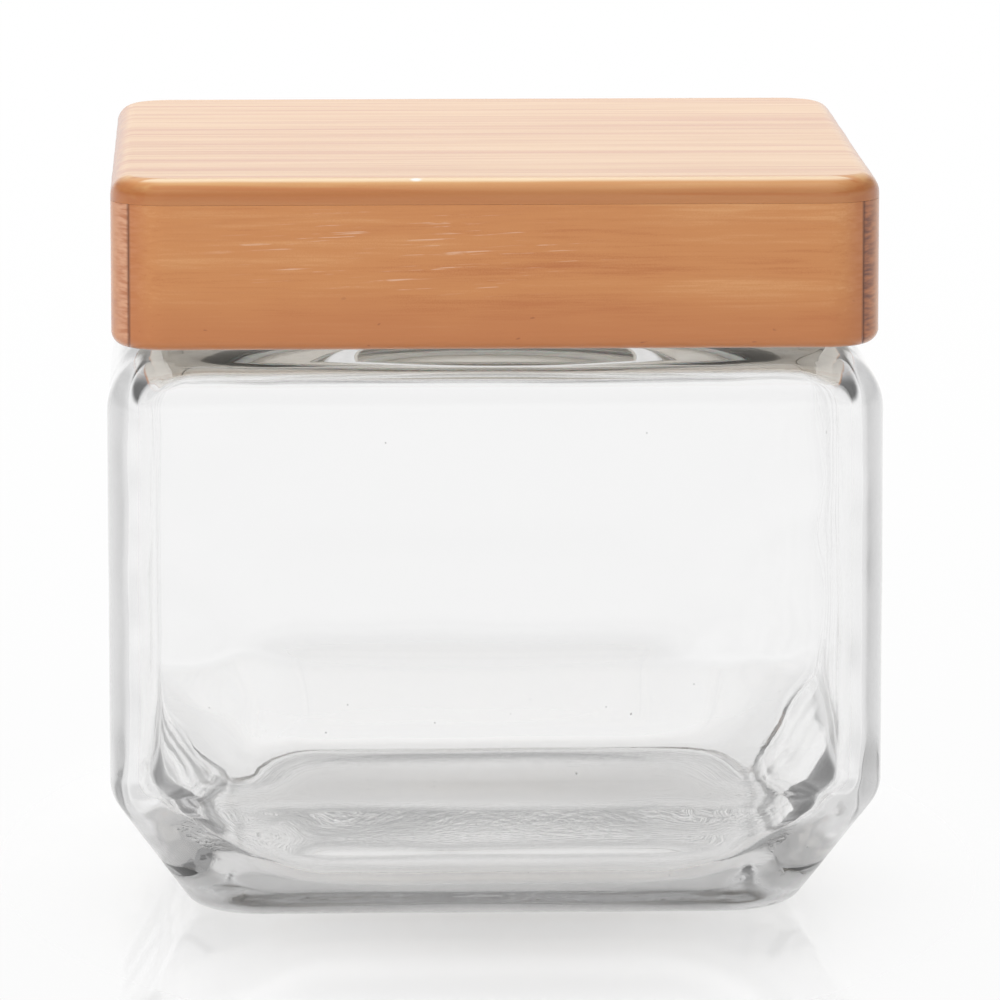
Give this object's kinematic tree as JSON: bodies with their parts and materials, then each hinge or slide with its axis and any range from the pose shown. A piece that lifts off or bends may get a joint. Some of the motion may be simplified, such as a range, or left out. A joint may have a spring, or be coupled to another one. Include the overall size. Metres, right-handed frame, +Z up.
{
  "type": "glass candy jar",
  "caption": "Square clear-glass candy jar with a slanted foot and a wooden box lid; the lid's round plug and soft seal ring close the mouth, so the lid lifts off and turns.",
  "frame": {"origin": "middle of the jar's foot, on the surface that it stands on", "axes": "+Z up through the middle of the mouth and the lid, -Y towards the front board, +X to the right seen from the front"},
  "size_m": [0.128, 0.128, 0.1255],
  "materials": {
    "clear_glass": "clear pressed glass",
    "pine_top": "satin lacquer",
    "pine_frame": "satin lacquer",
    "pine_inside": "bare sanded",
    "soft_seal": "matt silicone"
  },
  "bodies": {
    "jar": {"glass_jar": "clear_glass"},
    "seal": {"seal_ring": "soft_seal"},
    "lid": {"lid_top_panel": "pine_top", "lid_front_board": "pine_frame", "lid_rear_board": "pine_frame", "lid_left_board": "pine_frame", "lid_right_board": "pine_frame", "lid_inner_board": "pine_inside", "lid_plug_disc": "pine_inside"}
  },
  "joints": [
    {"name": "lid_lift", "type": "slide", "parent": "jar", "child": "seal", "axis": [0, 0, 1], "range_m": [0, 0.12]},
    {"name": "lid_turn", "type": "hinge", "parent": "seal", "child": "lid", "pos_m": [0, 0, 0.1072], "axis": [0, 0, 1], "continuous": true}
  ]
}
